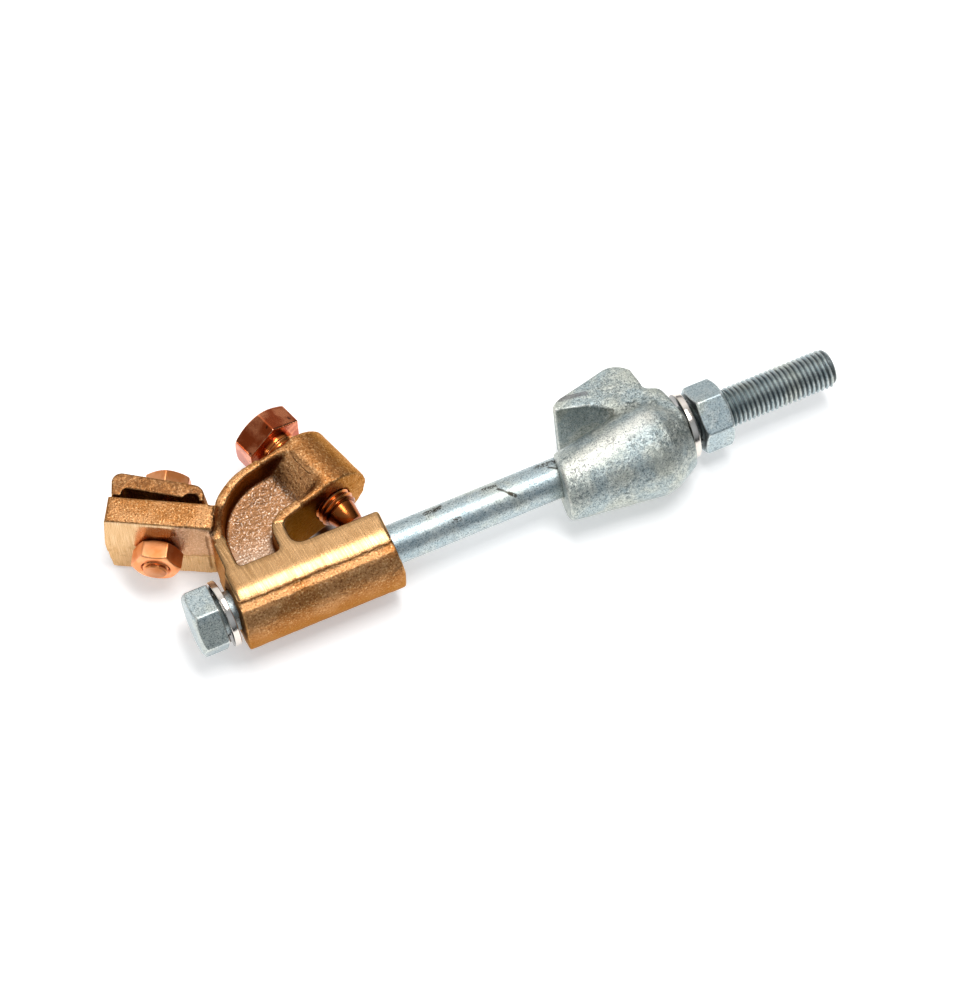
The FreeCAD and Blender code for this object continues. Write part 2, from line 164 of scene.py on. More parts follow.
class Nodes:
    """A node tree being built from one set of coordinates."""

    def __init__(self, tree, coordinates):
        self.tree = tree
        tree.nodes.clear()
        source = tree.nodes.new("ShaderNodeTexCoord")
        self.place = Value(self, source.outputs[coordinates])

    def split(self, place, unit=1.0):
        node = self.tree.nodes.new("ShaderNodeSeparateXYZ")
        self.tree.links.new(place.socket, node.inputs[0])
        return [Value(self, out) * unit for out in node.outputs]

    def add(self, kind, settings=None, inputs=None, out=0):
        node = self.tree.nodes.new(kind)
        for name, value in (settings or {}).items():
            setattr(node, name, value)
        for name, value in (inputs or {}).items():
            socket = node.inputs[name]
            if isinstance(value, Value):
                self.tree.links.new(value.socket, socket)
            else:
                socket.default_value = value
        return Value(self, node.outputs[out])

    def mix(self, a, b, amount):
        """Colour a where amount is 0, b where it is 1."""
        return self.add(
            "ShaderNodeMix",
            {"data_type": "RGBA"},
            {0: amount, 6: a if isinstance(a, Value) else (*a, 1.0), 7: b if isinstance(b, Value) else (*b, 1.0)},
            out=2,
        )

    def ray(self, kind):
        """1 for rays of one kind, such as those from the camera."""
        return self.add("ShaderNodeLightPath", out="Is " + kind + " Ray")


class Finish(Nodes):
    """One material's node tree, with the place on the part in millimetres."""

    def __init__(self, name):
        self.material = bpy.data.materials.new(name)
        self.material.use_nodes = True
        super().__init__(self.material.node_tree, "Object")
        self.x, self.y, self.z = self.split(self.place, 1000.0)

    def own(self, name):
        """A number kept on the mesh, point by point."""
        return self.add("ShaderNodeAttribute", {"attribute_name": name}, None, out="Fac")

    def noise(self, scale, detail=3.0, roughness=0.55, distortion=0.0, at=None):
        """Cloudy pattern around 0.5, scale in waves per millimetre."""
        return self.add(
            "ShaderNodeTexNoise",
            None,
            {
                "Vector": at or self.place,
                "Scale": scale * 1000.0,
                "Detail": detail,
                "Roughness": roughness,
                "Distortion": distortion,
            },
        )

    def cells(self, scale):
        """Distance to scattered points, scale in points per millimetre."""
        return self.add(
            "ShaderNodeTexVoronoi",
            {"feature": "F1"},
            {"Vector": self.place, "Scale": scale * 1000.0, "Randomness": 1.0},
        )

    def laid(self, turn, origin=(0.0, 0.0, 0.0), scale=(1.0, 1.0, 1.0)):
        """Coordinates taken from a point and turned about Z to a direction, then drawn out."""
        return self.add(
            "ShaderNodeMapping",
            {"vector_type": "TEXTURE"},
            {
                "Vector": self.place,
                "Location": tuple(v * MM for v in origin),
                "Rotation": (0.0, 0.0, math.radians(turn)),
                "Scale": scale,
            },
        )

    def spot(self, at, radius, soft):
        """1 inside a ball round a point of the part, fading over soft millimetres."""
        away = self.add(
            "ShaderNodeVectorMath", {"operation": "DISTANCE"}, {0: self.place, 1: tuple(v * MM for v in at)}, out=1
        )
        return (away * 1000.0).below(radius - soft, radius + soft)

    def stroke(self, start, end, radius, soft):
        """1 within a radius of the line between two points of the part, fading over soft millimetres."""
        a, b = Vector(start) * MM, Vector(end) * MM
        run = b - a
        off = self.add("ShaderNodeVectorMath", {"operation": "SUBTRACT"}, {0: self.place, 1: a})
        along = self.add(
            "ShaderNodeVectorMath", {"operation": "DOT_PRODUCT"}, {0: off, 1: run / run.length_squared}, out=1
        )
        near = self.add(
            "ShaderNodeVectorMath", {"operation": "SCALE"}, {0: run, "Scale": along.least(1.0).most(0.0)}
        )
        gap = self.add("ShaderNodeVectorMath", {"operation": "DISTANCE"}, {0: off, 1: near}, out=1)
        return (gap * 1000.0).below(radius - soft, radius + soft)

    def bump(self, height, distance, strength=1.0):
        return self.add(
            "ShaderNodeBump", None, {"Height": height, "Distance": distance * MM, "Strength": strength}
        )

    def surface(self, colour, roughness, normal, **fixed):
        """Metal shader and output; fixed values are set on the shader's own sockets."""
        shader = self.tree.nodes.new("ShaderNodeBsdfPrincipled")
        shader.inputs["Metallic"].default_value = 1.0
        for name, value in (("Base Color", colour), ("Roughness", roughness), ("Normal", normal)):
            self.tree.links.new(value.socket, shader.inputs[name])
        for name, value in fixed.items():
            shader.inputs[name.replace("_", " ")].default_value = value
        output = self.tree.nodes.new("ShaderNodeOutputMaterial")
        self.tree.links.new(shader.outputs[0], output.inputs[0])
        return self.material


def rgb(r, g, b):
    """Scene colour of an 8 bit display colour."""
    def linear(v):
        v = v / 255.0
        return v / 12.92 if v <= 0.04045 else ((v + 0.055) / 1.055) ** 2.4
    return (linear(r), linear(g), linear(b))


def sand_grain(f):
    """Fine and coarse grain of a sand casting: dark pits, bright grains and the height of both."""
    fine = f.noise(1.35, 3.0, 0.65)
    coarse = f.noise(0.5, 2.0, 0.5)
    height = fine + coarse * 0.8
    return fine, coarse, height


def cast_bronze(kind):
    """Sand cast bronze. kind is body or cap: the body has ground places, and painted shade in its pocket and rail
    slot.
    """
    f = Finish("cast_bronze_" + kind)
    edge = f.own("edge")
    fine, coarse, height = sand_grain(f)
    drift = f.noise(0.06, 2.0)
    tan = f.mix(rgb(162, 108, 60), rgb(180, 130, 84), drift.above(0.42, 0.6))
    dark = rgb(104, 60, 26)
    light = rgb(236, 196, 142)
    rough = f.mix(tan, dark, fine.below(0.34, 0.48) * 0.8)
    rough = f.mix(rough, light, fine.above(0.55, 0.68) * 0.7)
    if kind == "body":
        level = abs(f.z)
        local_x, local_y, _ = f.split(f.laid(LUG_DEG, LUG_AT), 1000.0)
        # pinkish web of the pocket, lighter towards the barrel
        web = f.own("web")
        dust = f.mix(rgb(148, 106, 72), rgb(170, 146, 126), f.y.below(-6.0, 12.0))
        dust = f.mix(dust, rgb(118, 84, 60), fine.below(0.34, 0.48) * 0.8)
        dust = f.mix(dust, rgb(240, 226, 210), fine.above(0.54, 0.66) * 0.7)
        rough = f.mix(rough, dust, web * 0.9)
        # linished places: top of the barrel, low rims, front of the lug
        wander = f.noise(0.3, 3.0)
        top = (level + wander * 0.9).above(14.85, 15.05)
        low_rim = (f.y + f.x * 0.12 + wander * 5.0).below(7.2, 8.8)
        not_lug = f.x.above(-29.5, -28.5)
        lug_front = local_y.below(0.1, 0.7) * local_x.below(21.0, 23.0)
        skin = (local_x - 9.0 + wander * 6.0).above(0.0, 1.6)
        skin = skin * (f.z + wander * 7.0 - local_x * 0.1).above(-1.5, 0.5)
        ground = (top * low_rim * not_lug).most(lug_front * (1.0 - skin))
        brush_top = f.noise(1.0, 2.0, 0.6, at=f.laid(8.0, scale=(0.22, 12.0, 4.0)))
        brush_lug = f.noise(1.0, 2.0, 0.6, at=f.laid(LUG_DEG, scale=(0.25, 4.0, 12.0)))
        brush = f.add("ShaderNodeMix", None, {0: lug_front, 2: brush_top, 3: brush_lug})
        shine = f.mix(rgb(142, 106, 66), rgb(186, 148, 106), brush.above(0.3, 0.7))
        # the lug's front is painted paler than the other ground places: painted reflection of the bright floor
        # below it
        pale = f.mix(rgb(188, 150, 108), rgb(220, 190, 152), brush.above(0.3, 0.7))
        shine = f.mix(shine, pale, lug_front)
        shine = f.mix(shine, rgb(146, 106, 66), f.noise(0.16, 3.0, 0.6).above(0.5, 0.66) * 0.35)
        pits = f.cells(0.28).below(0.05, 0.09)
        shine = f.mix(shine, rgb(110, 72, 40), pits * 0.8)
        skin_tone = f.mix(rgb(202, 160, 128), rgb(226, 190, 160), fine.above(0.45, 0.6))
        rough = f.mix(rough, skin_tone, lug_front * skin * 0.85)
        barrel_line = (level + wander * 1.2).within(14.6, 15.0, 0.15) * f.y.below(-18.0, -17.0)
        colour = f.mix(rough, shine, ground)
        colour = f.mix(colour, rgb(84, 50, 24), barrel_line * 0.7)
        s, t, _ = f.split(f.laid(SCREW_DEG, SCREW_AT), 1000.0)
        underneath = f.z.below(-2.0, 9.0) * f.y.below(-24.0, -20.0)
        colour = f.mix(colour, rgb(156, 104, 58), underneath * 0.6)
        # darker line along the edge of the boss's crest, also dented a little
        crest_line = (t + wander * 2.0 + 1.6).within(-0.12, 0.12, 0.1) * s.within(14.0, 24.5, 0.6)
        crest_line = crest_line * f.z.above(13.0, 14.0)
        colour = f.mix(colour, rgb(60, 36, 18), crest_line * 0.85)
        # painted shade along the step where the lug stands above the plate's rim, also dented a little
        step_shade = (local_x + wander * 5.0 - 24.2).within(-0.35, 0.35, 0.2) * local_y.within(-1.0, 12.5, 0.3)
        step_shade = step_shade * f.x.below(-20.0, -19.0)
        colour = f.mix(colour, rgb(70, 42, 22), step_shade * 0.8)
        roughness = 0.33 - ground * 0.12 + fine * 0.1
        normal = f.bump(height * (1.0 - ground) + brush * ground * 0.06 - crest_line * 0.3 - step_shade * 0.5, 0.22)
    else:
        streak = f.noise(0.8, 3.0, 0.6, at=f.laid(LUG_DEG, scale=(1.0, 1.0, 4.0)))
        colour = f.mix(f.mix(rough, rgb(128, 86, 52), 0.3), rgb(98, 60, 34), streak.above(0.35, 0.62) * 0.7)
        roughness = 0.34 + fine * 0.1
        normal = f.bump(height, 0.16)
    if kind == "body":
        # painted shade on the pocket's upper wall and inside the rail slot
        colour = f.mix(colour, rgb(78, 32, 12), f.own("painted_shade") * 0.82)
    # lighter on edges and darker in corners, by how sharply the surface bends: partly edge wear and dirt, partly
    # painted highlight and painted shade
    colour = f.mix(colour, rgb(236, 196, 134), edge.above(0.06, 0.18) * (0.7 if kind == "cap" else 0.4))
    colour = f.mix(colour, rgb(62, 36, 18), edge.below(-0.2, -0.03) * 0.8)
    return f.surface(colour, roughness, normal, Specular_Tint=(0.9, 0.66, 0.42, 1.0))


def copper_alloy(kind):
    """Copper alloy fasteners: dark patina on the contact screw, satin orange on the terminal's bolt."""
    f = Finish("copper_" + kind)
    edge = f.own("edge")
    cloud = f.noise(0.12, 3.0, 0.6)
    fine = f.noise(1.1, 2.0)
    spots = f.cells(0.2).below(0.12, 0.2) * f.noise(0.3, 2.0).above(0.5, 0.58)
    if kind == "screw":
        base = f.mix(rgb(166, 74, 36), rgb(214, 130, 88), cloud.above(0.42, 0.62))
        base = f.mix(base, rgb(70, 34, 24), spots * 0.85)
        # the shank under the head stays bright; from the end of the thread the turned point is painted darker:
        # painted shade inside the rail slot
        s, _, _ = f.split(f.laid(SCREW_DEG, SCREW_AT), 1000.0)
        shank = f.mix(rgb(206, 124, 62), rgb(160, 88, 40), s.above(36.0, 38.5))
        base = f.mix(base, shank, s.above(0.2, 0.9))
        roughness = 0.16 + cloud * 0.14
    else:
        base = f.mix(rgb(228, 142, 82), rgb(242, 168, 116), cloud.above(0.4, 0.62))
        roughness = 0.3 + fine * 0.14
    # lighter on edges and thread crests, darker in corners and thread roots: partly wear, partly painted highlight
    # and painted shade
    base = f.mix(base, rgb(240, 190, 150), edge.above(0.04, 0.14) * 0.6)
    base = f.mix(base, rgb(70, 30, 16), edge.below(-0.25, -0.05) * 0.5)
    return f.surface(base, roughness, f.bump(fine, 0.03))


def zinc_mottle(f):
    mottle = f.noise(0.6, 4.0, 0.65)
    fine = f.noise(1.9, 3.0, 0.7)
    patch = f.noise(0.07, 2.0)
    return mottle, fine, patch


def galvanised(kind):
    """Hot dip galvanised steel: casting, bolt or nut."""
    f = Finish("zinc_" + kind)
    edge = f.own("edge")
    mottle, fine, patch = zinc_mottle(f)
    if kind == "casting":
        base = f.mix(rgb(154, 163, 160), rgb(206, 210, 202), mottle.above(0.36, 0.64))
    else:
        base = f.mix(rgb(164, 178, 182), rgb(196, 205, 204), mottle.above(0.36, 0.64))
    base = f.mix(base, rgb(160, 180, 188), patch.above(0.48, 0.6) * 0.45)
    base = f.mix(base, rgb(190, 192, 178), patch.below(0.38, 0.48) * 0.45)
    base = f.mix(base, rgb(84, 92, 92), fine.below(0.38, 0.49) * 0.75)
    base = f.mix(base, rgb(226, 228, 220), fine.above(0.55, 0.66) * 0.55)
    height = fine * 0.6 + mottle
    if kind == "casting":
        scattered = f.noise(0.14, 2.0).above(0.5, 0.6) * 0.6
        pitted = f.stroke((141.0, -4.0, 12.2), (149.0, -6.0, 12.4), 4.0, 2.5).most(scattered)
        pits = f.noise(0.9, 2.0, 0.6).below(0.4, 0.46) * pitted
        # this stroke is a painted highlight along the top of the hook's cone
        worn = f.stroke((110.0, -20.5, 15.0), (143.0, -14.5, 18.3), 3.6, 3.2)
        base = f.mix(base, rgb(246, 244, 234), worn * fine.above(0.38, 0.46) * 0.75)
        # painted shade in the hook's notch
        base = f.mix(base, rgb(66, 72, 66), f.own("painted_shade") * 0.42)
        rub = f.stroke(NOSE_MARK[0], NOSE_MARK[1], 1.1, 0.4)
        base = f.mix(base, rgb(96, 92, 96), rub * 0.65)
        base = f.mix(base, rgb(84, 92, 90), pits * 0.7)
        roughness = 0.32 + mottle * 0.22
        normal = f.bump(height - pits * 0.6, 0.32)
    elif kind == "bolt":
        broken = f.noise(1.3, 3.0, 0.75)
        for start, end, radius, cover in SHANK_MARKS:
            mark = f.stroke(start, end, radius, 0.35) * broken.above(0.62 - cover * 0.3, 0.68 - cover * 0.3)
            base = f.mix(base, rgb(58, 54, 46), mark * 0.9)
        roughness = 0.34 + mottle * 0.2
        normal = f.bump(height, 0.08)
    else:
        roughness = 0.34 + mottle * 0.18
        normal = f.bump(height, 0.1)
    # lighter on edges and thread crests, darker in corners and thread roots: partly wear, partly painted highlight
    # and painted shade
    base = f.mix(base, rgb(236, 236, 228), edge.above(0.03, 0.13) * 0.7)
    base = f.mix(base, rgb(48, 54, 56), edge.below(-0.25, -0.05) * 0.8)
    return f.surface(base, roughness, normal)


def spring_steel():
    """Bright warm spring steel, painted dark all but its outer rim: painted shade."""
    f = Finish("spring_steel")
    edge = f.own("edge")
    cloud = f.noise(0.25, 2.0)
    rings = f.noise(0.5, 2.0, at=f.laid(0.0, scale=(0.1, 1.0, 1.0)))
    base = f.mix(rgb(226, 218, 208), rgb(204, 196, 188), cloud)
    # painted shade on all but the outer rim
    base = f.mix(base, rgb(34, 30, 28), edge.above(0.4, 0.9) * 0.9)
    return f.surface(base, 0.1 + cloud * 0.08, f.bump(rings, 0.01))


# marks on the plain shank: start, end, radius and how closely they cover
SHANK_MARKS = (
    ((52.0, -11.0, 7.1), (58.0, -10.4, 6.7), 1.2, 0.55),
    ((55.0, -11.6, 7.3), (57.6, -11.2, 7.1), 0.9, 0.75),
    ((60.6, -18.4, 7.0), (63.0, -18.6, 6.9), 1.0, 0.5),
    ((76.6, -10.6, 6.9), (81.0, -11.4, 7.3), 0.9, 0.6),
    ((81.4, -13.4, 7.9), (85.4, -17.6, 7.4), 0.55, 1.2),
    ((84.8, -16.8, 7.6), (86.4, -18.4, 7.0), 0.8, 0.9),
    ((99.0, -10.4, 6.8), (106.0, -11.0, 7.1), 1.3, 0.55),
    ((103.0, -13.0, 7.8), (106.0, -15.0, 7.9), 0.4, 0.8),
)
NOSE_MARK = ((119.3, 12.0, 9.1), (129.5, 10.1, 9.6))


# ---------------------------------------------------------------- shapes

def direction(deg):
    """Unit vector in the jaw plane, turned deg from X."""
    a = math.radians(deg)
    return Vector((math.cos(a), math.sin(a), 0.0))


def edges_in(geom):
    return [g for g in geom if isinstance(g, bmesh.types.BMEdge)]


def verts_in(geom):
    return [g for g in geom if isinstance(g, bmesh.types.BMVert)]


def linked(name, mesh):
    piece = bpy.data.objects.new(name, mesh)
    bpy.context.collection.objects.link(piece)
    return piece


def applied(piece):
    """The piece with its modifiers made part of its mesh."""
    seen = piece.evaluated_get(bpy.context.evaluated_depsgraph_get())
    mesh = bpy.data.meshes.new_from_object(seen)
    piece.modifiers.clear()
    piece.data = mesh
    return piece


def copy_of(node):
    """A CAD node's mesh, its loose triangles merged."""
    shape = bmesh.new()
    shape.from_mesh(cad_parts[node].data)
    bmesh.ops.remove_doubles(shape, verts=shape.verts, dist=0.002 * MM)
    return shape


def remeshed(name, shape, voxel):
    """The shape as an even net of small squares, so that its edges can be worn round."""
    mesh = bpy.data.meshes.new(name)
    shape.to_mesh(mesh)
    shape.free()
    piece = linked(name, mesh)
    net = piece.modifiers.new("net", "REMESH")
    net.mode = "VOXEL"
    net.voxel_size = voxel * MM
    applied(piece)
    shape = bmesh.new()
    shape.from_mesh(piece.data)
    return piece, shape


def soften(shape, times, verts=None):
    """Wear edges round and fill hollows, over the whole shape or some of its points."""
    chosen = list(verts or shape.verts)
    for _ in range(times):
        bmesh.ops.smooth_vert(
            shape, verts=chosen, factor=0.5, use_axis_x=True, use_axis_y=True, use_axis_z=True
        )


def smooth(low, high, value):
    """0 at low, 1 at high and beyond, with an easy start and end; low may be the larger."""
    t = max(0.0, min(1.0, (value - low) / (high - low)))
    return t * t * (3.0 - 2.0 * t)


def mark_edges(shape, voxel):
    """Keep on each point how sharply the surface bends there: up on edges, down in corners."""
    layer = shape.verts.layers.float.new("edge")
    shape.normal_update()
    for v in shape.verts:
        if v.link_edges:
            around = sum((e.other_vert(v).co for e in v.link_edges), Vector()) / len(v.link_edges)
            v[layer] = (v.co - around).dot(v.normal) / (voxel * MM)


def roughen(shape, depth, wave, keep=None):
    """Press an uneven cast surface in along the normals, never outwards."""
    shape.normal_update()
    moves = []
    for v in shape.verts:
        p = v.co / MM
        fine = 0.5 + 0.5 * noise.noise(p / wave)
        coarse = 0.5 + 0.5 * noise.noise(p / (wave * 4))
        amount = depth * fine + depth * 0.8 * coarse
        if keep:
            amount *= keep(p)
        moves.append((v, v.normal * (-amount * MM)))
    for v, move in moves:
        v.co += move


def off_bolt(p):
    """Distance in millimetres from the long bolt's axis."""
    return math.hypot(p.y - BOLT_Y, p.z)


def closed(piece, shape, sharp=None):
    """Write the shape back into its piece, shaded smooth or with sharp folds over an angle."""
    shape.to_mesh(piece.data)
    shape.free()
    piece.data.shade_smooth()
    if sharp:
        piece.data.set_sharp_from_angle(angle=math.radians(sharp))
    return piece


def place_on(piece, body, slot, material, *nodes):
    """Material, body, slot (not used) and the CAD nodes that the piece stands for."""
    piece.data.materials.clear()
    piece.data.materials.append(material)
    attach(piece, body)
    if nodes:
        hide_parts(*nodes)
    return piece


def turned_to(point, at, deg):
    """Place in a frame laid from the point at, in the direction deg of the jaw plane."""
    a = math.radians(deg)
    dx, dy = point.x - at.x, point.y - at.y
    return dx * math.cos(a) + dy * math.sin(a), -dx * math.sin(a) + dy * math.cos(a), point.z


def open_bore(shape, at, deg, s0, s1, drawn, wanted):
    """Widen a drilled wall, found by its radius, to the radius that clears a thread."""
    along = direction(deg)
    for v in shape.verts:
        p = v.co / MM - at
        s = p.dot(along)
        out = p - along * s
        if s0 < s < s1 and out.length < drawn + 0.35:
            v.co = (at + along * s + out.normalized() * max(out.length, wanted)) * MM


# ---------------------------------------------------------------- castings

def clamp_casting():
    """Bronze casting with rounded edges, its skin uneven but for the ground places."""
    piece, shape = remeshed("clamp_casting", copy_of("clamp_body"), BODY_NET)
    soften(shape, 4)
    pocket = []
    for v in shape.verts:
        p = v.co / MM
        beside_slot = p.x > 0.5 and p.y < 7.0
        if abs(p.z) < 14.5 and -29.0 < p.x < 14.0 and -6.5 < p.y < 36.0 and not beside_slot:
            pocket.append(v)
    soften(shape, 5, pocket)
    flank = []
    weld = []
    for v in shape.verts:
        p = v.co / MM
        s, t, w = turned_to(p, SCREW_AT, SCREW_DEG)
        if 5.0 < s < 36.0 and -14.0 < t < 1.5 and 4.0 < abs(w) and math.hypot(t, w) > 9.5:
            flank.append(v)
        elif 10.0 < s < 18.0 and abs(t) < 8.0 and 13.5 < abs(w):
            flank.append(v)
        a, b, c = turned_to(p, LUG_AT, LUG_DEG)
        if 19.0 < a < 27.0 and -4.0 < b < 14.0 and abs(c) > 12.5:
            weld.append(v)
    soften(shape, 45, flank)
    soften(shape, 24, weld)
    for v in shape.verts:
        over = 1.0 - (v.co.y / MM - BOLT_Y)
        level = abs(v.co.z) / MM
        if over > 0.0 and level > 13.2:
            drop = 0.014 * min(over, 8.5) ** 2 * smooth(13.2, 14.9, level)
            v.co.z -= math.copysign(drop * MM, v.co.z)
    mark_edges(shape, BODY_NET)
    # painted shade: the pocket's upper wall, which faces away from the lamps, and the inside of the rail slot,
    # less towards the slot's lit end
    painted_shade = shape.verts.layers.float.new("painted_shade")
    web = shape.verts.layers.float.new("web")
    for v in shape.verts:
        p = v.co / MM
        n = v.normal
        in_pocket = 0.0
        if -29.0 < p.x < 14.0 and -7.0 < p.y < 36.0:
            in_pocket = smooth(14.6, 12.5, abs(p.z))
        s, t, w = turned_to(p, SCREW_AT, SCREW_DEG)
        v[web] = smooth(6.5, 4.6, abs(p.z)) * smooth(0.45, 0.8, abs(n.z)) if in_pocket > 0.9 else 0.0
        if s > 15.5 and t > -14.0:
            in_pocket *= 0.12
        upper_wall = in_pocket * smooth(0.1, 0.5, n.x * 0.6 - n.y * 0.8) * smooth(0.9, 0.6, abs(n.z))
        in_slot = 0.0
        if p.x < 26.0 and -3.6 < p.y < 10.5:
            in_slot = smooth(15.2, 13.0, abs(p.z)) * smooth(0.3, 1.2, p.x)
        lit_end = smooth(3.6, 2.0, p.x) * smooth(2.0, -1.0, p.y)
        v[painted_shade] = max(upper_wall, in_slot * (1.0 - 0.6 * lit_end))

    def skin(p):
        if abs(p.z) > 14.2 and p.y < 7.0 and p.x > -29.0:
            return 0.12
        s, t, w = turned_to(p, SCREW_AT, SCREW_DEG)
        if math.hypot(t, w) < 9.0:
            return 0.0
        if off_bolt(p) < 9.2:
            return 0.0
        a, b, c = turned_to(p, LUG_AT, LUG_DEG)
        if b < 1.0 and a < 9.0:
            return 0.15
        return 1.0

    roughen(shape, 0.17, 1.5, skin)
    open_bore(shape, SCREW_AT, SCREW_DEG, 4.0, 40.0, 7.9, 8.15)
    return closed(piece, shape)


def cap_casting():
    """Cap plate of the terminal, its lip and edges well rounded."""
    piece, shape = remeshed("cap_casting", copy_of("terminal_cap"), CAP_NET)
    soften(shape, 5)
    mark_edges(shape, CAP_NET)
    roughen(shape, 0.09, 1.2)
    return closed(piece, shape)


def hook_casting():
    """Galvanised hook, its nose and belly run softly into the round body.

    A drill clears what the softened net leaves in the bore; it is thinner than the solid's bore.
    On the side of the nose the solid's wall runs out to nothing at the front, so the bore lies
    open there, with a ragged edge.
    """
    piece, shape = remeshed("hook_casting", copy_of("hook_jaw"), HOOK_NET)
    soften(shape, 4)
    a = math.radians(HOOK_LEAN)
    belly = []
    root = []
    for v in shape.verts:
        p = v.co / MM
        y, z = p.y - BOLT_Y, p.z
        y, z = y * math.cos(a) - z * math.sin(a), y * math.sin(a) + z * math.cos(a)
        from_end = HOOK_END_X - p.x
        if from_end < 6.0:
            belly.append(v)
        if from_end < 30.0 and 0.0 < y < 17.0 and abs(z) > 7.0:
            root.append(v)
    soften(shape, 4, belly)
    soften(shape, 40, root)
    mark_edges(shape, HOOK_NET)
    # painted shade in the notch, on walls that face away from the lamps
    painted_shade = shape.verts.layers.float.new("painted_shade")
    for v in shape.verts:
        away = HOOK_END_X - v.co.x / MM
        in_notch = smooth(0.0, 3.0, v.co.y / MM + 6.0) * smooth(20.0, 24.0, away)
        v[painted_shade] = in_notch * smooth(0.25, 0.6, -v.normal.y - 0.6 * v.normal.x)

    roughen(shape, 0.16, 1.6, lambda p: smooth(9.2, 11.0, off_bolt(p)))
    closed(piece, shape)
    drill = bmesh.new()
    middle = Vector((HOOK_END_X - 26.0, BOLT_Y, 0.0)) * MM
    bmesh.ops.create_cone(
        drill,
        cap_ends=True,
        segments=96,
        radius1=HOOK_DRILL_R * MM,
        radius2=HOOK_DRILL_R * MM,
        depth=0.2,
        matrix=Matrix.Translation(middle) @ Matrix.Rotation(math.radians(90), 4, "Y"),
    )
    mesh = bpy.data.meshes.new("drill")
    drill.to_mesh(mesh)
    drill.free()
    tool = linked("drill", mesh)
    hole = piece.modifiers.new("bore", "BOOLEAN")
    hole.operation = "DIFFERENCE"
    hole.solver = "EXACT"
    hole.object = tool
    applied(piece)
    bpy.data.objects.remove(tool)
    bpy.data.meshes.remove(mesh)
    shape = bmesh.new()
    shape.from_mesh(piece.data)
    layer = shape.verts.layers.float["edge"]
    for v in shape.verts:
        if off_bolt(v.co / MM) < HOOK_DRILL_R + 0.05:
            v[layer] = -0.1
    return closed(piece, shape, 50.0)


# ---------------------------------------------------------------- fasteners

def head_of(node, cut_at, direction, voxel, wear):
    """Hexagon of a CAD bolt, cut off at its bearing face and worn a little round."""
    shape = copy_of(node)
    everything = shape.verts[:] + shape.edges[:] + shape.faces[:]
    cut = bmesh.ops.bisect_plane(
        shape, geom=everything, dist=0.0001 * MM, plane_co=cut_at * MM, plane_no=direction, clear_outer=True
    )
    rim = edges_in(cut["geom_cut"])
    bmesh.ops.triangle_fill(shape, use_beauty=True, edges=rim)
    bmesh.ops.recalc_face_normals(shape, faces=shape.faces)
    piece, shape = remeshed(node + "_head", shape, voxel)
    soften(shape, wear)
    mark_edges(shape, voxel)
    mesh = bpy.data.meshes.new(node + "_head")
    shape.to_mesh(mesh)
    shape.free()
    bpy.data.objects.remove(piece)
    return mesh


def threaded_rod(start, thread_from, end, root, crest, pitch, chamfer, around=56):
    """Rod along X with a rolled thread from thread_from to end and a plain shank before it."""
    shape = bmesh.new()
    x0 = thread_from - pitch
    profile = [(0.0, root + 0.06), (0.125, root), (0.25, root + 0.06)]
    profile += [(0.555, crest - 0.07), (0.625, crest), (0.695, crest - 0.07), (1.0, root + 0.06)]
    line = [shape.verts.new(((x0 + pitch * t) * MM, 0.0, r * MM)) for t, r in profile]
    edges = [shape.edges.new(pair) for pair in zip(line, line[1:])]
    turns = int((end - thread_from) / pitch) + 3
    bmesh.ops.spin(
        shape,
        geom=line + edges,
        cent=(0.0, 0.0, 0.0),
        axis=(1.0, 0.0, 0.0),
        dvec=(pitch * MM / around, 0.0, 0.0),
        angle=math.tau * turns,
        steps=around * turns,
        use_merge=False,
    )
    bmesh.ops.remove_doubles(shape, verts=shape.verts, dist=0.02 * MM)
    for v in shape.verts:
        x = v.co.x / MM
        r = math.hypot(v.co.y, v.co.z) / MM
        wanted = r
        if x < thread_from + pitch * 2:
            fade = max(0.0, min(1.0, (x - thread_from) / (pitch * 2)))
            wanted = crest - (crest - r) * fade
        if x > end - chamfer:
            wanted = min(wanted, crest - (x - end + chamfer) * 0.95)
        v.co.y *= wanted / r
        v.co.z *= wanted / r
    for at, way in ((end, 1.0), (thread_from, -1.0)):
        everything = shape.verts[:] + shape.edges[:] + shape.faces[:]
        cut = bmesh.ops.bisect_plane(
            shape,
            geom=everything,
            dist=0.001 * MM,
            plane_co=(at * MM, 0.0, 0.0),
            plane_no=(way, 0.0, 0.0),
            clear_outer=True,
        )
        rim = edges_in(cut["geom_cut"])
        if way < 0 and start < thread_from:
            drawn = bmesh.ops.extrude_edge_only(shape, edges=rim)["geom"]
            moved = verts_in(drawn)
            rim = edges_in(drawn)
            bmesh.ops.translate(shape, verts=moved, vec=((start - thread_from) * MM, 0.0, 0.0))
            rim = [e for e in rim if all(v in set(moved) for v in e.verts)]
        bmesh.ops.triangle_fill(shape, use_beauty=True, edges=rim)
    bmesh.ops.recalc_face_normals(shape, faces=shape.faces)
    # thread crests are marked for painted highlight and thread roots for painted shade
    layer = shape.verts.layers.float.new("edge")
    for v in shape.verts:
        r = math.hypot(v.co.y, v.co.z) / MM
        if v.co.x / MM > thread_from + 1.0 and r > root - 0.1:
            v[layer] = 0.36 * (r - root) / (crest - root) - 0.27
    return shape


def laid_along(shape, at, deg):
    """Turn a shape made along X into the jaw plane's direction deg, from the point at."""
    turn = Matrix.Translation(at * MM) @ Matrix.Rotation(math.radians(deg), 4, "Z")
    bmesh.ops.transform(shape, matrix=turn, verts=shape.verts)


def joined(name, shape, *meshes):
    """One piece of a shape and finished meshes."""
    for mesh in meshes:
        shape.from_mesh(mesh)
        bpy.data.meshes.remove(mesh)
    piece = linked(name, bpy.data.meshes.new(name))
    return closed(piece, shape, 38.0)


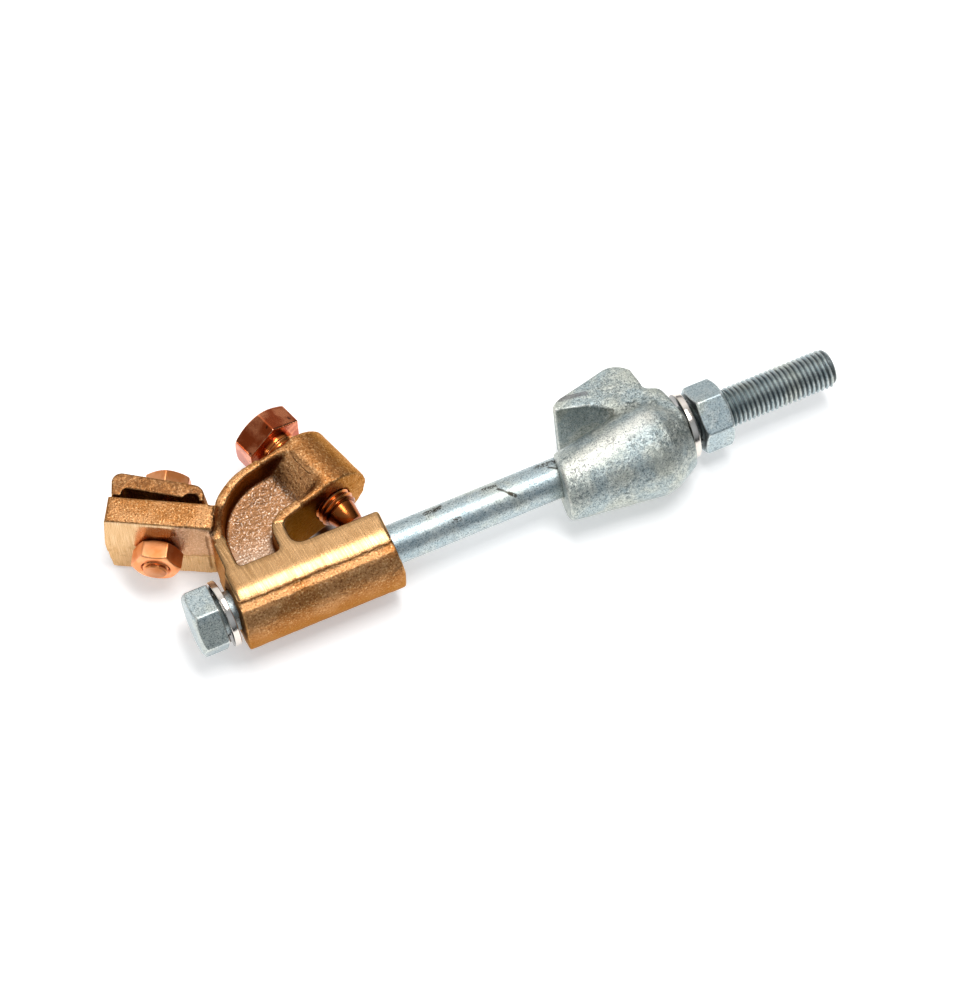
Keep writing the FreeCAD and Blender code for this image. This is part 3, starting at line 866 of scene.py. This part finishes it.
def long_bolt():
    """M16 bolt: worn hexagon, plain shank and a rolled thread."""
    head = head_of("long_bolt", Vector((BEARING_X, BOLT_Y, 0.0)), Vector((1.0, 0.0, 0.0)), M16_NET, 5)
    shape = threaded_rod(BEARING_X - 0.6, THREAD_X, TIP_X, *M16_THREAD, 1.7)
    bmesh.ops.translate(shape, verts=shape.verts, vec=(0.0, BOLT_Y * MM, 0.0))
    return joined("long_bolt_finished", shape, head)


def contact_screw():
    """M16 copper alloy screw: dark hexagon, thread to the head and a turned point."""
    along = direction(SCREW_DEG)
    head = head_of("contact_screw", SCREW_AT, along, SCREW_NET, 3)
    shape = threaded_rod(-0.6, 1.2, 38.6, *M16_THREAD, 1.1)
    point = bmesh.ops.create_circle(shape, cap_ends=False, segments=64, radius=6.4 * MM)["verts"]
    bmesh.ops.rotate(shape, verts=point, cent=(0.0, 0.0, 0.0), matrix=Matrix.Rotation(math.radians(90), 3, "Y"))
    bmesh.ops.translate(shape, verts=point, vec=(38.0 * MM, 0.0, 0.0))
    rim = list({e for v in point for e in v.link_edges})
    for x, r in ((38.6, 6.4), (45.6, 4.35), (46.0, 3.9)):
        drawn = bmesh.ops.extrude_edge_only(shape, edges=rim)["geom"]
        moved = verts_in(drawn)
        rim = [e for e in edges_in(drawn) if all(v in moved for v in e.verts)]
        for v in moved:
            out = Vector((0.0, v.co.y, v.co.z)).normalized() * r * MM
            v.co = Vector((x * MM, out.y, out.z))
    bmesh.ops.triangle_fill(shape, use_beauty=True, edges=rim)
    start = [e for e in shape.edges if e.is_boundary]
    bmesh.ops.triangle_fill(shape, use_beauty=True, edges=start)
    bmesh.ops.recalc_face_normals(shape, faces=shape.faces)
    laid_along(shape, SCREW_AT, SCREW_DEG)
    return joined("contact_screw_finished", shape, head)


def terminal_bolt():
    """M10 bolt of the terminal, threaded where the nut sits."""
    along = direction(LUG_DEG - 90.0)
    head_at = LUG_AT + along * TERMINAL_BEARING
    head = head_of("terminal_bolt", head_at, along, M10_BOLT_NET, 3)
    shape = threaded_rod(TERMINAL_BEARING - 0.4, TERMINAL_BEARING + 14.0, 10.5, *M10_THREAD, 0.6, 48)
    laid_along(shape, LUG_AT, LUG_DEG - 90.0)
    return joined("terminal_bolt_finished", shape, head)


def pressed_nut(node, name, at, deg, voxel, wear, drawn, wanted, twist=0.0):
    """Hexagon nut of the CAD with worn corners, its bore clear of the thread and countersunk."""
    piece, shape = remeshed(name, copy_of(node), voxel)
    soften(shape, wear)
    mark_edges(shape, voxel)
    open_bore(shape, at, deg, -400.0, 400.0, drawn, wanted)
    along = direction(deg)
    reach = [(v.co / MM - at).dot(along) for v in shape.verts]
    ends = (min(reach), max(reach))
    for v, s in zip(shape.verts, reach):
        out = v.co / MM - at - along * s
        depth = min(s - ends[0], ends[1] - s)
        mouth = wanted + 0.14 * drawn - depth * 0.8
        if out.length < mouth:
            v.co = (at + along * s + out.normalized() * mouth) * MM
    if twist:
        turn = Matrix.Rotation(math.radians(twist), 3, along)
        bmesh.ops.rotate(shape, verts=shape.verts, cent=at * MM, matrix=turn)
    return closed(piece, shape)


def spring_washer(node, name, lean):
    """Split spring washer: a bar with broken edges wound once, with a narrow gap between its ends."""
    low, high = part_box(node)
    middle = (low + high) / 2
    thick = 2.7
    inside, outside = 8.3, 13.4
    split = math.radians(11.5)
    shape = bmesh.new()
    corners = [(-thick / 2, inside), (thick / 2, inside), (thick / 2, outside), (-thick / 2, outside)]
    section = [shape.verts.new((x * MM, 0.0, r * MM)) for x, r in corners]
    face = shape.faces.new(section)
    rise = 0.3
    steps = 120
    made = bmesh.ops.spin(
        shape,
        geom=[face],
        cent=(0.0, 0.0, 0.0),
        axis=(1.0, 0.0, 0.0),
        dvec=(rise * MM / steps, 0.0, 0.0),
        angle=math.tau - split,
        steps=steps,
        use_merge=False,
    )
    bmesh.ops.translate(shape, verts=shape.verts, vec=(-rise / 2 * MM, 0.0, 0.0))
    bmesh.ops.recalc_face_normals(shape, faces=shape.faces)
    turn = Matrix.Rotation(math.radians(lean), 4, "Z") @ Matrix.Rotation(math.radians(150.0), 4, "X")
    bmesh.ops.transform(shape, matrix=Matrix.Translation(middle) @ turn, verts=shape.verts)
    piece = linked(name, bpy.data.meshes.new(name))
    shape.to_mesh(piece.data)
    shape.free()
    broken = piece.modifiers.new("broken_edges", "BEVEL")
    broken.width = 0.4 * MM
    broken.segments = 3
    broken.limit_method = "ANGLE"
    broken.angle_limit = math.radians(40.0)
    applied(piece)
    shape = bmesh.new()
    shape.from_mesh(piece.data)
    # 1 on all but the outer rim: where the material paints shade
    layer = shape.verts.layers.float.new("edge")
    for v in shape.verts:
        r = (v.co - middle - turn.col[0].xyz * (v.co - middle).dot(turn.col[0].xyz)).length / MM
        v[layer] = smooth(outside - 0.1, outside - 0.5, r)
    return closed(piece, shape, 40.0)


bronze_body = cast_bronze("body")
bronze_cap = cast_bronze("cap")
copper_dark = copper_alloy("screw")
copper_satin = copper_alloy("bolt")
zinc_casting = galvanised("casting")
zinc_bolt = galvanised("bolt")
zinc_nut = galvanised("nut")
bright_spring = spring_steel()

place_on(clamp_casting(), "clamp", "cast_bronze", bronze_body, "clamp_body")
place_on(cap_casting(), "cap", "cast_bronze", bronze_cap, "terminal_cap")
place_on(hook_casting(), "hook", "galvanised_casting", zinc_casting, "hook_jaw")
place_on(long_bolt(), "bolt", "zinc_steel", zinc_bolt, "long_bolt")
place_on(contact_screw(), "contact", "copper_screw", copper_dark, "contact_screw")
place_on(terminal_bolt(), "cap_bolt", "copper_bolt", copper_satin, "terminal_bolt")
place_on(
    pressed_nut("terminal_nut", "terminal_nut_finished", LUG_AT, LUG_DEG - 90.0, M10_NUT_NET, 3, 5.0, 5.12, -9.0),
    "cap_nut", "copper_bolt", copper_satin, "terminal_nut",
)
place_on(
    pressed_nut("hex_nut", "hex_nut_finished", Vector((0.0, BOLT_Y, 0.0)), 0.0, M16_NET, 5, 7.9, 8.15),
    "nut", "zinc_steel", zinc_nut, "hex_nut",
)
place_on(
    spring_washer("head_washer", "head_washer_finished", 2.8),
    "head_ring", "spring_steel", bright_spring, "head_washer",
)
place_on(
    spring_washer("nut_washer", "nut_washer_finished", -2.8),
    "nut_ring", "spring_steel", bright_spring, "nut_washer",
)


# ---------------------------------------------------------------- camera, floor and light

# Camera fitted to the photograph: focal length and longer side in pixels
FOCAL_PX = 3337.0
FRAME_PX = 1000.0
SENSOR_MM = 36.0
LAMP_AIM = (0.03, 0.0, 0.0)

def make_camera():
    """Camera at the photograph's viewpoint."""
    camera = bpy.data.cameras.new("camera")
    holder = bpy.data.objects.new("camera", camera)
    bpy.context.collection.objects.link(holder)
    right = Vector((0.90844, -0.41796, -0.00692))
    up = Vector((0.37105, 0.79865, 0.47381))
    ahead = Vector((0.19251, 0.43300, -0.88060))
    turn = Matrix((right, up, -ahead)).transposed().to_4x4()
    holder.matrix_world = Matrix.Translation(Vector((-168.9, -568.7, 1131.0)) * MM) @ turn
    camera.sensor_fit = "AUTO"
    camera.sensor_width = SENSOR_MM
    camera.lens = FOCAL_PX / FRAME_PX * SENSOR_MM
    camera.clip_start = 0.05
    camera.clip_end = 20.0
    bpy.context.scene.camera = holder


def area_light(name, at, size, power):
    """Soft rectangular lamp, aimed at the object."""
    lamp = bpy.data.lights.new(name, "AREA")
    lamp.shape = "RECTANGLE"
    lamp.size, lamp.size_y = size
    lamp.energy = power
    holder = bpy.data.objects.new(name, lamp)
    bpy.context.collection.objects.link(holder)
    holder.location = at
    look = Vector(LAMP_AIM) - Vector(at)
    holder.rotation_mode = "QUATERNION"
    holder.rotation_quaternion = look.to_track_quat("-Z", "Y")


def make_floor():
    """Pale floor that keeps the shadow.

    It isn't plain: a brown painted shadow lies under the rail slot, which makes the slot look darker.
    For glossy rays the floor glows near the object, painted light seen in reflections, and is dark far from it.
    """
    mesh = bpy.data.meshes.new("floor")
    shape = bmesh.new()
    bmesh.ops.create_grid(shape, x_segments=1, y_segments=1, size=6.0)
    bmesh.ops.translate(shape, verts=shape.verts, vec=(0.0, 0.0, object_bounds()[0].z))
    shape.to_mesh(mesh)
    shape.free()
    floor = linked("floor", mesh)
    f = Finish("floor")
    mirror = f.ray("Glossy")
    away = (((f.x - 70.0) ** 2.0 + (f.y - 10.0) ** 2.0) ** 0.5).above(190.0, 420.0)
    # painted shadow on the floor under the rail slot; the floor doesn't glow for the camera there
    slot_shadow = f.spot(UNDER_SLOT, 5.0, 3.0)
    tone = f.mix(rgb(243, 243, 243), rgb(110, 76, 50), slot_shadow)
    tone = f.mix(tone, rgb(70, 72, 76), mirror * away)
    diffuse = f.add("ShaderNodeBsdfDiffuse", None, {0: tone})
    seen = f.ray("Camera") * 0.34 * (1.0 - slot_shadow)
    # for glossy rays the floor glows near the object: painted light that shows in reflections
    glow = f.add("ShaderNodeEmission", None, {"Strength": seen + mirror * (1.0 - away) * 0.55})
    both = f.tree.nodes.new("ShaderNodeAddShader")
    f.tree.links.new(diffuse.socket, both.inputs[0])
    f.tree.links.new(glow.socket, both.inputs[1])
    output = f.tree.nodes.new("ShaderNodeOutputMaterial")
    f.tree.links.new(both.outputs[0], output.inputs[0])
    mesh.materials.append(f.material)


def make_world():
    """White surroundings for the camera; for the object a studio, bright behind and dark at the sides."""
    world = bpy.data.worlds.new("studio")
    bpy.context.scene.world = world
    world.use_nodes = True
    w = Nodes(world.node_tree, "Generated")
    x, y, z = w.split(w.place)
    dome = z.above(0.2, 1.0) * 0.36 + 0.05
    behind = y.above(0.2, 0.75) * abs(x - 0.1).below(0.45, 0.95) * z.above(-0.1, 0.3)
    front = (y * -1.0).above(0.3, 0.9) * z.above(0.0, 0.3) * 0.34
    camera = w.ray("Camera")
    tint = w.mix((1.0, 1.0, 1.0), (0.9, 0.99, 1.08), (y * -1.0).above(0.0, 0.6))
    back = w.add(
        "ShaderNodeBackground",
        None,
        {"Color": w.mix(tint, (1.0, 1.0, 1.0), camera), "Strength": (dome + behind + front).most(camera)},
    )
    output = w.tree.nodes.new("ShaderNodeOutputWorld")
    w.tree.links.new(back.socket, output.inputs[0])


make_camera()
make_floor()
make_world()
area_light("key", (0.23, 0.035, 1.1), (0.66, 0.36), 9.0)
area_light("left", (-1.0, 0.02, 0.38), (0.5, 0.3), 2.5)

bpy.context.scene.view_settings.view_transform = "Standard"
